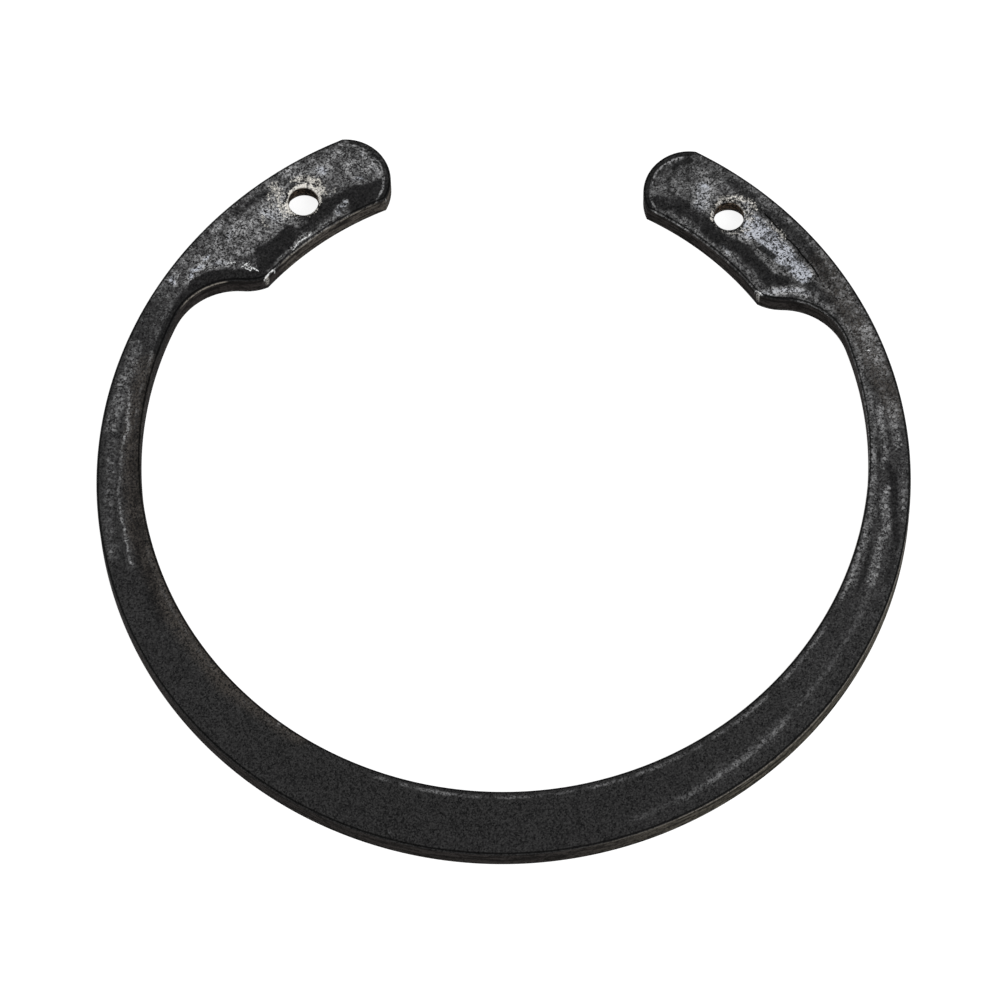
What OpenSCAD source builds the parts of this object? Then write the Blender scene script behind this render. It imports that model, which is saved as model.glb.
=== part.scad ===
// Internal retaining ring, a flat circlip of spring steel for a groove in a bore.
// One stamped piece: an open band whose inner edge is set off-centre, so that it is widest
// opposite the gap, and two wide lugs with a hole each for the tips of the pliers.
// The upper edges are rolled over by the die, and the lower edges are sharp.
// The ring lies on its lower face. The origin is the centre of the outer edge on that face,
// the gap opens towards +Y and +Z is up. Millimetres, and degrees clockwise from +Y.

/* [Band] */
// Outside diameter of the ring when nothing squeezes it
free_d = 76.5; // [72:0.5:84]
// Thickness of the steel
thickness = 2.5; // [2:0.1:3.5]
// Width of the band opposite the gap
band_w = 6.3; // [5.5:0.1:7.2]
// How far the centre of the inner edge lies towards the gap
inner_shift = 2.3; // [1.5:0.1:3]

/* [Lugs] */
// Distance across the gap between the two lug tips
gap_w = 24.1; // [18:0.1:30]
// Width of a lug half-way along it
lug_w = 7.75; // [7:0.05:8.5]
// How much narrower a lug is at its tip than at its shoulder
lug_taper = 0.3; // [0:0.05:0.6]
// Length of a lug along the outer edge, from the middle of its tip to its shoulder
lug_len = 15; // [13:0.5:18]
// Radius of the round tip
tip_r = 4.4; // [4.2:0.05:5]
// Depth of the tip's centre below the outer edge
tip_depth = 4.1; // [4.1:0.05:4.3]
// Angle between the shoulder and the ring's radius
shoulder_lean = 38.5; // [30:0.5:45]
// Radius of the corner between the shoulder and the lug's inner edge
corner_r = 3; // [2.4:0.1:4]
// Length of the straight part of the shoulder, between its corner and the hollow below it
shoulder_straight = 0.75; // [0.4:0.05:1.5]

/* [Plier holes] */
// Diameter of each hole
hole_d = 3; // [2.5:0.05:3.5]
// Depth of the hole's centre below the outer edge
hole_depth = 4; // [3.8:0.05:4.6]
// Distance of the hole from the centre of the round tip
hole_back = 4.5; // [3:0.1:7]

/* [Rolled edge] */
// Width of the rolled edge, seen from above
roll_w = 0.35; // [0.2:0.05:0.5]
// Height of the rolled edge
roll_h = 0.25; // [0.15:0.05:0.4]
// Size of the rolled edge round the two tips, as a share of the rest
tip_share = 0.85; // [0.8:0.05:0.9]

/* [Hidden] */
$fn = 180;
steel = [0.17, 0.17, 0.165];
// How far arcs that run into each other cross, so that they meet at a clean edge
bite = 0.02;
// How far the rolls of edges that run into each other overlap
lap = 0.05;
// How far a rolled edge is cut past a sharp corner
run_on = 1;
// How far the blank reaches past the corner that its round cuts back
corner_margin = 0.5;
// Slopes at which the rolled edge is stepped, from upright to level
roll_slopes = [0, 30, 60, 90];

outer_r = free_d/2;
middle = [0, 0];
inner_r = outer_r - band_w + inner_shift;
inner_centre = [0, inner_shift];

tip_angle = asin((gap_w/2 + tip_r)/(outer_r - tip_depth));
tip_centre = polar(outer_r - tip_depth, tip_angle);
shoulder_angle = tip_angle + degrees_along(lug_len, outer_r);
lug_angle = (tip_angle + shoulder_angle)/2;
lug_inner_r = outer_r - lug_w;
lug_inner_shift = lug_taper/(2*sin(lug_angle - tip_angle));
lug_inner_centre = polar(lug_inner_shift, lug_angle - 90);
hole_angle = tip_angle + degrees_along(hole_back, outer_r - hole_depth);
hole_centre = polar(outer_r - hole_depth, hole_angle);

// The shoulder is a straight line from the lug's inner edge out towards the band
shoulder_bearing = shoulder_angle + shoulder_lean;
shoulder_along = polar(1, shoulder_bearing);
shoulder_out = polar(1, shoulder_bearing + 90);
shoulder_start = leave_circle(lug_inner_centre, lug_inner_r, middle, polar(1, shoulder_angle));

// The corner's circle touches the shoulder's line and the lug's inner edge from the metal's side
corner_centre = leave_circle(
    lug_inner_centre, lug_inner_r + corner_r,
    shoulder_start - corner_r*shoulder_out, shoulder_along);
corner_bearing = bearing(corner_centre - lug_inner_centre);
corner_foot = (corner_centre - shoulder_start)*shoulder_along;

// The hollow leads from the end of the shoulder into the band: its circle touches the shoulder's
// line there and, from inside, the band's inner edge
hollow_foot = corner_foot + shoulder_straight;
hollow_start = shoulder_start + hollow_foot*shoulder_along - inner_centre;
hollow_touch_r =
    (inner_r*inner_r - hollow_start*hollow_start)/(2*(inner_r + hollow_start*shoulder_out));
hollow_r = hollow_touch_r + bite;
hollow_centre = inner_centre + hollow_start + hollow_touch_r*shoulder_out;
hollow_bearing = bearing(hollow_centre - inner_centre);
hollow_end = inner_centre + polar(inner_r, hollow_bearing);

function polar(radius, angle) = radius*[sin(angle), cos(angle)];
function bearing(v) = atan2(v.x, v.y);
function degrees_along(length, radius) = length/radius*180/PI;

// Where the line from a point along a direction leaves a circle
function leave_circle(centre, radius, point, along) =
    let(v = point - centre, b = v*along)
    point + (sqrt(b*b - v*v + radius*radius) - b)*along;

// Bearing, seen from one circle's centre, of where it crosses another: anticlockwise of the
// other's centre where side is -1, and clockwise of it where side is 1
function crossing(centre, radius, other_centre, other_r, side) =
    let(v = other_centre - centre, d = norm(v))
    bearing(v) + side*acos((radius*radius + d*d - other_r*other_r)/(2*radius*d));

// The rolled edge in section, at a share of its full size: distance into the metal, and height
function roll_point(slope, share) =
    [share*roll_w*(1 - cos(slope)), thickness - share*roll_h*(1 - sin(slope))];
function half_step_past(p, q) = q + (q - p)/2;
function roll_section(share) =
    let(line = [for (slope = roll_slopes) roll_point(slope, share)],
        last = len(line) - 1,
        foot = half_step_past(line[1], line[0]),
        head = half_step_past(line[last - 1], line[last]))
    concat([foot], [for (i = [1:last - 1]) line[i]], [head, [foot.x, head.y]]);

module disc(centre, radius) {
    translate(centre)
        circle(radius);
}

module on_both_sides() {
    children();
    mirror([1, 0, 0])
        children();
}

// Slice of the plane between two angles, with its point in the middle of the ring
module slice(from, to) {
    far = 2*outer_r;
    polygon([middle, polar(far, from), polar(far, (from + to)/2), polar(far, to)]);
}

// The open band between the outer edge and the off-centre inner edge
module band() {
    difference() {
        disc(middle, outer_r);
        disc(inner_centre, inner_r);
        slice(-lug_angle, lug_angle);
    }
}

// Open space below the shoulder, as far as the hollow
module shoulder_space() {
    translate(shoulder_start)
        rotate(90 - shoulder_bearing)
            translate([-hollow_r, -hollow_r])
                square([hollow_r + hollow_foot, hollow_r]);
}

// What the round cuts off the corner between the shoulder and the lug's inner edge
module corner_space() {
    reach = corner_r + corner_margin;
    to_shoulder = reach*shoulder_out;
    to_inner_edge = polar(-reach, corner_bearing);
    difference() {
        translate(corner_centre)
            polygon([middle, to_shoulder, to_shoulder + to_inner_edge, to_inner_edge]);
        disc(corner_centre, corner_r + bite);
    }
}

// The lug on the right of the gap, with its round tip, its shoulder and its hole
module lug() {
    difference() {
        intersection() {
            disc(middle, outer_r);
            union() {
                slice(tip_angle, bearing(hollow_end));
                disc(tip_centre, tip_r);
            }
        }
        disc(lug_inner_centre, lug_inner_r);
        disc(hollow_centre, hollow_r);
        shoulder_space();
        corner_space();
        disc(hole_centre, hole_d/2);
    }
}

// The flat blank as the die cuts it, before its edges are rolled
module blank() {
    linear_extrude(thickness) {
        band();
        on_both_sides() lug();
    }
}

// What the rolled edge takes off a round wall between two angles. The metal lies outside the
// radius where side is 1, and inside it where side is -1.
module round_roll(centre, radius, side, from, to, share = 1) {
    translate(centre)
        rotate(90 - to)
            rotate_extrude(angle = to - from)
                polygon([for (p = roll_section(share)) [radius + side*p.x, p.y]]);
}

module outer_roll() {
    start = crossing(middle, outer_r, tip_centre, tip_r, -1) - degrees_along(run_on, outer_r);
    round_roll(middle, outer_r, -1, start, 360 - start);
}

module inner_roll() {
    start = hollow_bearing - degrees_along(lap, inner_r);
    round_roll(inner_centre, inner_r, 1, start, 360 - start);
}

module tip_roll() {
    past = degrees_along(run_on, tip_r);
    inner_corner = crossing(tip_centre, tip_r, lug_inner_centre, lug_inner_r, 1);
    outer_corner = crossing(tip_centre, tip_r, middle, outer_r, 1);
    round_roll(tip_centre, tip_r, -1, inner_corner - past, outer_corner + past, tip_share);
}

module lug_inner_roll() {
    past = degrees_along(run_on, lug_inner_r);
    tip_corner = crossing(lug_inner_centre, lug_inner_r, tip_centre, tip_r, -1);
    round_roll(
        lug_inner_centre, lug_inner_r, 1,
        tip_corner - past, corner_bearing + degrees_along(lap, lug_inner_r));
}

module corner_roll() {
    round_roll(corner_centre, corner_r + bite, -1, shoulder_bearing + 90, corner_bearing + 180);
}

module shoulder_roll() {
    translate(shoulder_start)
        rotate(90 - shoulder_bearing)
            translate([corner_foot - lap, 0, 0])
                rotate([90, 0, 90])
                    linear_extrude(shoulder_straight + 2*lap)
                        polygon(roll_section(1));
}

module hollow_roll() {
    round_roll(hollow_centre, hollow_r, 1, shoulder_bearing - 90, hollow_bearing);
}

module hole_roll() {
    round_roll(hole_centre, hole_d/2, 1, 0, 360);
}

// Rolls that meet share an edge, so each is cut from metal on which the one it meets is done
module retaining_ring() {
    color(steel)
    difference() {
        difference() {
            difference() {
                difference() {
                    blank();
                    on_both_sides() tip_roll();
                }
                outer_roll();
                on_both_sides() hole_roll();
            }
            inner_roll();
            on_both_sides() corner_roll();
        }
        on_both_sides() {
            lug_inner_roll();
            shoulder_roll();
            hollow_roll();
        }
    }
}

retaining_ring();
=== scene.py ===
import functools
import math
import random
from types import SimpleNamespace

import bmesh
import bpy
import numpy as np
from mathutils import Matrix, Vector, geometry, noise
from mathutils.kdtree import KDTree


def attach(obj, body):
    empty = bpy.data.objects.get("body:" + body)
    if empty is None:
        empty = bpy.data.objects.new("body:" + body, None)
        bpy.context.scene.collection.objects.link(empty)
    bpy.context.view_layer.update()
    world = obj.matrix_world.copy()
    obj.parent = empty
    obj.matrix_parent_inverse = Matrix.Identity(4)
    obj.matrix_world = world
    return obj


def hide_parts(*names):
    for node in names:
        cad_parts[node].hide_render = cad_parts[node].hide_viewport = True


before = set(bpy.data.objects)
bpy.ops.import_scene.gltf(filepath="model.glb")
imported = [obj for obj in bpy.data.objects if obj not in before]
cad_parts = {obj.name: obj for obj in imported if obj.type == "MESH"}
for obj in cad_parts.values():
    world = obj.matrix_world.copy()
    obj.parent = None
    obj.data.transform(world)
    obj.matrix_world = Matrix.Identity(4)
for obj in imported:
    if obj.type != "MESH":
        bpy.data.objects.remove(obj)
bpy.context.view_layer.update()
rng = random.Random(72)

# The ring's sizes in millimetres and degrees, as the solid has them
MM = 0.001
OUTER_R = 38.25
THICK = 2.5
BAND_W = 6.3
INNER_SHIFT = 2.3
GAP_W = 24.1
LUG_W = 7.75
LUG_TAPER = 0.3
LUG_LEN = 15.0
TIP_R = 4.4
TIP_DEPTH = 4.1
SHOULDER_LEAN = 38.5
SHOULDER_STRAIGHT = 0.75
CORNER_R = 3.0
HOLE_R = 1.5
HOLE_DEPTH = 4.0
HOLE_BACK = 4.5
ROLL_W = 0.35
ROLL_H = 0.25
INNER_R = OUTER_R - BAND_W + INNER_SHIFT

# The corner between a lug's inner edge and its shoulder turns at once by some degrees, and
# sweeps round the rest on a wider radius than the solid's
CORNER_EDGE = 24.0
CORNER_SWEEP_R = 5.0


def polar(radius, angle):
    a = math.radians(angle)
    return Vector((radius * math.sin(a), radius * math.cos(a)))


def bearing(v):
    return math.degrees(math.atan2(v.x, v.y))


def degrees_along(length, radius):
    return math.degrees(length / radius)


def leave_circle(centre, radius, point, along):
    """Where the line from a point along a direction leaves a circle."""
    v = point - centre
    b = v.dot(along)
    return point + (math.sqrt(b * b - v.dot(v) + radius * radius) - b) * along


def crossing(centre, radius, other, other_r, side):
    """Bearing, from one circle's centre, of where it crosses another: side picks one of the two places."""
    v = other - centre
    d = v.length
    cosine = (radius * radius + d * d - other_r * other_r) / (2 * radius * d)
    return bearing(v) + side * math.degrees(math.acos(cosine))


MIDDLE = Vector((0.0, 0.0))
INNER_C = Vector((0.0, INNER_SHIFT))
TIP_A = math.degrees(math.asin((GAP_W / 2 + TIP_R) / (OUTER_R - TIP_DEPTH)))
TIP_C = polar(OUTER_R - TIP_DEPTH, TIP_A)
SHOULDER_A = TIP_A + degrees_along(LUG_LEN, OUTER_R)
LUG_A = (TIP_A + SHOULDER_A) / 2
LUG_INNER_R = OUTER_R - LUG_W
LUG_INNER_C = polar(LUG_TAPER / (2 * math.sin(math.radians(LUG_A - TIP_A))), LUG_A - 90)
HOLE_A = TIP_A + degrees_along(HOLE_BACK, OUTER_R - HOLE_DEPTH)
HOLE_C = polar(OUTER_R - HOLE_DEPTH, HOLE_A)

# The shoulder's line, its corner towards the lug and its hollow towards the band
SHOULDER_B = SHOULDER_A + SHOULDER_LEAN
ALONG = polar(1, SHOULDER_B)
OUT = polar(1, SHOULDER_B + 90)
SHOULDER_START = leave_circle(LUG_INNER_C, LUG_INNER_R, MIDDLE, polar(1, SHOULDER_A))
ROUND_C = leave_circle(LUG_INNER_C, LUG_INNER_R + CORNER_R, SHOULDER_START - CORNER_R * OUT, ALONG)
HOLLOW_FOOT = (ROUND_C - SHOULDER_START).dot(ALONG) + SHOULDER_STRAIGHT
SWEEP_DEPTH = CORNER_SWEEP_R * math.cos(math.radians(CORNER_EDGE))
CORNER_C = leave_circle(
    LUG_INNER_C, LUG_INNER_R + SWEEP_DEPTH, SHOULDER_START - CORNER_SWEEP_R * OUT, ALONG)
CORNER_FOOT = (CORNER_C - SHOULDER_START).dot(ALONG)
HOLLOW_START = SHOULDER_START + HOLLOW_FOOT * ALONG - INNER_C
HOLLOW_R = (INNER_R ** 2 - HOLLOW_START.dot(HOLLOW_START)) / (2 * (INNER_R + HOLLOW_START.dot(OUT)))
HOLLOW_C = INNER_C + HOLLOW_START + HOLLOW_R * OUT
HOLLOW_B = bearing(HOLLOW_C - INNER_C)

# Rough lengths of the outline's stretches on one half, which set how many points each gets
RIM_LENGTH = 102
TIP_LENGTH = 9.4
LUG_INNER_LENGTH = 13.4
CORNER_LENGTH = 2.3
HOLLOW_LENGTH = 7.7
INNER_LENGTH = 66
FEWEST_POINTS = 4


def arc(centre, radius, start, end, count):
    """Points on a circle between two bearings, the last one left to the next stretch."""
    return [centre + polar(radius, start + (end - start) * i / count) for i in range(count)]


def half_outline(d, fine):
    """The right half of the outline, drawn in by d, from the bottom of the rim round to the inner edge's."""
    def count(length):
        return max(FEWEST_POINTS, round(length * fine))
    outer = OUTER_R - d
    tip = TIP_R - d
    corner = CORNER_SWEEP_R - d
    lug_inner = LUG_INNER_R + d
    inner = INNER_R + d
    rim_end = crossing(MIDDLE, outer, TIP_C, tip, -1)
    tip_start = crossing(TIP_C, tip, MIDDLE, outer, 1)
    tip_end = crossing(TIP_C, tip, LUG_INNER_C, lug_inner, 1)
    lug_start = crossing(LUG_INNER_C, lug_inner, TIP_C, tip, -1)
    lug_end = crossing(LUG_INNER_C, lug_inner, CORNER_C, corner, 1)
    corner_start = crossing(CORNER_C, corner, LUG_INNER_C, lug_inner, -1) + 360
    straight_start = SHOULDER_START + CORNER_FOOT * ALONG - d * OUT
    straight_end = SHOULDER_START + HOLLOW_FOOT * ALONG - d * OUT
    steps = count(HOLLOW_FOOT - CORNER_FOOT)
    pts = arc(MIDDLE, outer, 180, rim_end, count(RIM_LENGTH))
    pts += arc(TIP_C, tip, tip_start, tip_end, count(TIP_LENGTH))
    pts += arc(LUG_INNER_C, lug_inner, lug_start, lug_end, count(LUG_INNER_LENGTH))
    pts += arc(CORNER_C, corner, corner_start, SHOULDER_B + 90, count(CORNER_LENGTH))
    pts += [straight_start.lerp(straight_end, i / steps) for i in range(steps)]
    pts += arc(HOLLOW_C, HOLLOW_R + d, SHOULDER_B - 90, HOLLOW_B, count(HOLLOW_LENGTH))
    pts += arc(INNER_C, inner, HOLLOW_B, 180, count(INNER_LENGTH))
    return pts + [INNER_C + polar(inner, 180)]


def outline(d, fine):
    """The whole closed outline, drawn in by d."""
    right = half_outline(d, fine)
    left = [Vector((-p.x, p.y)) for p in reversed(right)]
    return right[:-1] + left[:-1]


# Camera: fitted to the photo's outline of the ring, nearly without perspective. Its distance and
# shifts are in outer radii, its angles in degrees, and its focal length in pixels.
CAM_D = 20.0
CAM_EL = 66.72
CAM_AZ = 3.92
CAM_ROLL = -1.56
FOCAL_PX = 8122.0
SHIFT_R = 0.0091
SHIFT_U = 0.0390
IMAGE_PX = 1000.0
SENSOR = 36.0  # millimetres
CLIP_END = 10  # metres


def camera_axes():
    """Where the camera looks from, its right, its up, and its place in millimetres."""
    el, az, roll = (math.radians(a) for a in (CAM_EL, CAM_AZ, CAM_ROLL))
    toward = Vector((math.sin(az) * math.cos(el), -math.cos(az) * math.cos(el), math.sin(el)))
    level = Vector((math.cos(az), math.sin(az), 0))
    steep = toward.cross(level)
    right = math.cos(roll) * level + math.sin(roll) * steep
    up = -math.sin(roll) * level + math.cos(roll) * steep
    return toward, right, up, OUTER_R * (CAM_D * toward - SHIFT_R * right - SHIFT_U * up)


TOWARD, RIGHT, UP, EYE = camera_axes()


def from_photo(x, y):
    """The point of the ring's upper face that the photo shows at a pixel, in millimetres."""
    half = IMAGE_PX / 2
    ray = (x - half) / FOCAL_PX * RIGHT - (y - half) / FOCAL_PX * UP - TOWARD
    p = EYE + (THICK - EYE.z) / ray.z * ray
    return Vector((p.x, p.y))


# Section of the edge, from the underside up: how far in from the outline, and height.
# The wall stands on a small foot, and the roll leads from it to the upper face.
FOOT = 0.04
FOOT_BEND = 0.4
WALL_ROWS = 6
ROLL_ROWS = 8
PROFILE = [(FOOT, 0.0), (FOOT_BEND * FOOT, FOOT_BEND * FOOT), (0.0, FOOT)]
PROFILE += [(0.0, FOOT + (THICK - ROLL_H - FOOT) * i / WALL_ROWS) for i in range(1, WALL_ROWS + 1)]
for i in range(1, ROLL_ROWS + 1):
    turn = math.radians(90 * i / ROLL_ROWS)
    PROFILE.append((ROLL_W * (1 - math.cos(turn)), THICK - ROLL_H * (1 - math.sin(turn))))

# Section of the holes' edge. The punch breaks out at the bottom and widens the hole there, and
# residue on the wall narrows it above. The roll is a share of the outline's.
BREAKOUT = 0.24
BREAKOUT_H = 1.1
BREAKOUT_BEND = (0.6, 0.4)
RESIDUE = 0.07
HOLE_MIDDLE = 1.7
HOLE_ROLL = 0.9
HOLE_POINTS = 96
HOLE_PROFILE = [
    (BREAKOUT, 0.0),
    (BREAKOUT_BEND[0] * BREAKOUT, BREAKOUT_BEND[1] * BREAKOUT_H),
    (-RESIDUE, BREAKOUT_H),
    (-RESIDUE, HOLE_MIDDLE),
    (-RESIDUE, THICK - HOLE_ROLL * ROLL_H)]
HOLE_PROFILE += [
    (HOLE_ROLL * d - RESIDUE, THICK - HOLE_ROLL * (THICK - z)) for d, z in PROFILE[-ROLL_ROWS:]]

# Outline points per millimetre: those of the mesh, and those from which distances are measured
FINE = 3.6
SAMPLES = 20.0

# Points inside the faces: their spacing above and below, the height of a row, how far each is
# moved at random, and how far they keep from the outline, all three as shares of the spacing
GRID = 0.19
GRID_UNDER = 1.2
ROW_STEP = 0.866
JITTER = 0.12
CLEAR = 0.55

TOUCH = 1e-5      # points closer than this are one point
ON_CIRCLE = 1e-4  # how near to a circle a point of that arc lies
SHARP = 16        # degrees from which an edge of the mesh is shaded as sharp


def inside(points, loop):
    """Which of the points lie inside a closed loop."""
    p = np.asarray(points)
    a = np.asarray(loop)
    b = np.roll(a, -1, axis=0)
    hit = np.zeros(len(p), bool)
    for (x0, y0), (x1, y1) in zip(a, b):
        if y0 != y1:
            cross = (y0 > p[:, 1]) != (y1 > p[:, 1])
            hit ^= cross & (p[:, 0] < x0 + (p[:, 1] - y0) * (x1 - x0) / (y1 - y0))
    return hit


def make_tree(points):
    tree = KDTree(len(points))
    for i, q in enumerate(points):
        tree.insert((q[0], q[1], 0), i)
    tree.balance()
    return tree


def distances(points, tree):
    return np.array([tree.find((p[0], p[1], 0))[2] for p in points])


def face_points(loops, pitch):
    """A staggered grid of points inside the first loop and outside the others, clear of them all."""
    outer = np.asarray(loops[0])
    low = outer.min(0)
    high = outer.max(0)
    pts = []
    rows = int((high[1] - low[1]) / (pitch * ROW_STEP)) + 1
    columns = int((high[0] - low[0]) / pitch) + 1
    for row in range(rows):
        for column in range(columns):
            x = low[0] + (column + 0.5 * (row % 2) + rng.uniform(-JITTER, JITTER)) * pitch
            y = low[1] + (row * ROW_STEP + rng.uniform(-JITTER, JITTER)) * pitch
            pts.append((x, y))
    pts = np.array(pts)
    radius = np.hypot(pts[:, 0], pts[:, 1])
    pts = pts[(radius < OUTER_R) & (radius > INNER_R - 2 * INNER_SHIFT - LUG_W)]
    pts = pts[inside(pts, outer)]
    for loop in loops[1:]:
        pts = pts[~inside(pts, loop)]
    for loop in loops:
        pts = pts[distances(pts, make_tree(loop)) > CLEAR * pitch]
    return pts


def add_row(bm, points, z):
    """New vertices at one height."""
    return [bm.verts.new((p[0] * MM, p[1] * MM, z * MM)) for p in points]


def cap(bm, loops, z, pitch, flip):
    """Fills the face between the loops of vertices with small triangles."""
    flat = [[(v.co.x / MM, v.co.y / MM) for v in loop] for loop in loops]
    coords = []
    verts = []
    edges = []
    for loop, loop_verts in zip(flat, loops):
        start = len(coords)
        coords += loop
        verts += loop_verts
        edges += [(start + i, start + (i + 1) % len(loop)) for i in range(len(loop))]
    grid = face_points(flat, pitch)
    coords += [tuple(p) for p in grid]
    verts += add_row(bm, grid, z)
    triangulated = geometry.delaunay_2d_cdt([Vector(c) for c in coords], edges, [], 0, TOUCH)
    out, _, faces, origin, _, _ = triangulated
    index = [o[0] if o else None for o in origin]
    middles = [tuple(sum((out[i] for i in f), Vector((0, 0))) / 3) for f in faces]
    keep = inside(middles, flat[0])
    for loop in flat[1:]:
        keep &= ~inside(middles, loop)
    for f, kept in zip(faces, keep):
        if kept and all(index[i] is not None for i in f):
            corners = [verts[index[i]] for i in f]
            turn = (corners[1].co - corners[0].co).cross(corners[2].co - corners[0].co).z
            if (turn < 0) != flip:
                corners.reverse()
            bm.faces.new(corners)


def skin(bm, rows):
    """Joins closed rows of vertices with quads."""
    for low, high in zip(rows, rows[1:]):
        n = len(low)
        for i in range(n):
            j = (i + 1) % n
            bm.faces.new((low[i], low[j], high[j], high[i]))


def build_ring():
    bm = bmesh.new()
    rows = [add_row(bm, outline(d, FINE), z) for d, z in PROFILE]
    skin(bm, rows)
    tops = [rows[-1]]
    feet = [rows[0]]
    for side in (-1, 1):
        centre = Vector((side * HOLE_C.x, HOLE_C.y))
        hole = []
        for d, z in HOLE_PROFILE:
            ring_points = [centre + polar(HOLE_R + d, -360 * i / HOLE_POINTS) for i in range(HOLE_POINTS)]
            hole.append(add_row(bm, ring_points, z))
        skin(bm, hole)
        tops.append(hole[-1])
        feet.append(hole[0])
    cap(bm, tops, THICK, GRID, False)
    cap(bm, feet, 0.0, GRID_UNDER, True)
    bmesh.ops.recalc_face_normals(bm, faces=bm.faces)
    for e in bm.edges:
        e.smooth = len(e.link_faces) == 2 and e.calc_face_angle() < math.radians(SHARP)
    for f in bm.faces:
        f.smooth = True
    mesh = bpy.data.meshes.new("ring_steel")
    bm.to_mesh(mesh)
    bm.free()
    obj = bpy.data.objects.new("ring_steel", mesh)
    bpy.context.scene.collection.objects.link(obj)
    return obj


# Marks of the photo are drawn as strokes. Each row gives its amount, its half width and its soft
# border in pixels, and then the pixels that its line runs through.
PX = 1 / 10.6  # millimetres to a pixel of the photo

# Grey deposit in general: its level by bearing from the gap, and the share of it on each side
DEPOSIT_BEARINGS = (0, 50, 62, 75, 95, 125, 145, 165)
DEPOSIT_LEVELS = (0.40, 0.36, 0.27, 0.17, 0.12, 0.06, 0.03, 0.02)
LEFT_BEARINGS = (55, 75)
LEFT_SHARES = (0.94, 0.40)
RIGHT_SHARE = 0.87
MOST_DEPOSIT = 2.5

# More of it on the left lug: the tip, round the hole, the field towards the shoulder, the corner
PALE_LEFT_LUG = (
    (0.47, 6, 12, (326, 164), (352, 160), (364, 174)),
    (0.45, 2, 3, (362, 152), (372, 160), (378, 172)),
    (0.5, 1, 3, (352, 180), (362, 178)),
    (0.9, 2, 4, (338, 212), (345, 202)),
    (0.55, 3, 6, (284, 172), (300, 172), (322, 172)),
    (0.45, 5, 8, (262, 206), (276, 214), (292, 224)),
    (0.5, 4, 7, (276, 188), (282, 200), (284, 210)),
    (0.4, 2, 4, (294, 246), (300, 236), (310, 234)),
    (0.35, 9, 12, (214, 256), (238, 240), (264, 222)),
    (0.4, 2, 5, (228, 238), (230, 228), (238, 220)),
    (0.6, 2, 3, (214, 232), (222, 222)),
    (0.5, 2, 4, (214, 263), (228, 264), (240, 268)),
    (0.6, 2, 4, (190, 282), (192, 270), (202, 266)),
    (1.0, 0.5, 2.5, (191, 277), (192, 271), (200, 268)),
    (0.8, 0.5, 2.5, (204, 260), (209, 256)),
    (0.7, 2, 4, (166, 282), (173, 280), (176, 274)),
    (1.1, 0.5, 2.5, (171, 278), (174, 284)),
)
# On the right lug: beside the hole, and the bright field towards the shoulder
PALE_RIGHT_LUG = (
    (0.8, 5, 7, (702, 190), (704, 202), (700, 206)),
    (0.35, 5, 7, (702, 178), (716, 184), (726, 186)),
    (0.7, 4, 6, (746, 206), (752, 220), (746, 236)),
    (0.35, 2, 4, (660, 226), (680, 226), (700, 236)),
    (0.9, 1, 3, (722, 245), (727, 248), (728, 254)),
    (1.6, 7, 8, (755, 226), (768, 238), (782, 254)),
    (1.45, 5, 7, (788, 258), (804, 276)),
    (0.2, 3, 5, (754, 252), (772, 266), (784, 272)),
    (0.8, 2, 4, (762, 293), (776, 291), (790, 289), (808, 293)),
)
# On the band: beside the rim and in two specks on the left, and along the middle on the right
PALE_BAND = (
    (0.22, 4, 5, (136, 345), (128, 372), (122, 386)),
    (0.24, 4, 5, (119, 398), (114, 416), (112, 428)),
    (0.12, 3, 5, (112, 440), (110, 476), (108, 520), (114, 556)),
    (1.3, 0.3, 1.2, (280, 724), (280, 725)),
    (1.3, 0.3, 1.2, (389, 832), (390, 832)),
    (0.25, 3, 5, (862, 326), (874, 348), (884, 372)),
    (0.16, 1, 3, (846, 352), (860, 392), (870, 440), (872, 480)),
    (0.24, 3, 4, (855, 360), (866, 420), (871, 460), (872, 510), (864, 545), (852, 582)),
    (0.45, 1, 4, (880, 408), (881, 424), (886, 448), (884, 466)),
    (0.36, 2, 4, (891, 404), (894, 424), (898, 446)),
    (0.42, 2, 4, (887, 488), (883, 502), (888, 524), (880, 544), (876, 562), (871, 582)),
    (0.10, 2, 4, (903, 460), (904, 520)),
)

# Dark and smooth coat on the left lug: the border of its inner edge and hollow, and the rim side
SMOOTH_LEFT_LUG = (
    (1.0, 8, 8, (386, 188), (370, 193), (352, 197)),
    (0.8, 3, 6, (388, 198), (368, 204), (352, 208)),
    (1.0, 6, 7, (352, 197), (332, 205), (322, 214), (310, 224)),
    (1.0, 5, 6, (310, 223), (292, 232), (276, 245), (262, 254)),
    (1.0, 7, 5, (286, 238), (270, 253), (265, 261)),
    (0.9, 2, 6, (262, 254), (262, 266), (258, 278)),
    (0.95, 6, 5, (260, 278), (236, 276), (212, 278), (196, 286)),
    (0.85, 3, 6, (196, 286), (184, 298), (170, 322), (158, 350)),
    (0.55, 2, 6, (236, 212), (256, 199), (270, 190)),
    (0.42, 2, 6, (184, 250), (212, 216), (250, 184), (288, 160), (312, 148)),
    (0.45, 2, 5, (286, 176), (304, 168)),
    (0.7, 2, 4, (352, 142), (374, 154), (386, 172), (388, 190)),
    (0.55, 2, 3, (367, 186), (372, 172)),
)
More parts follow.
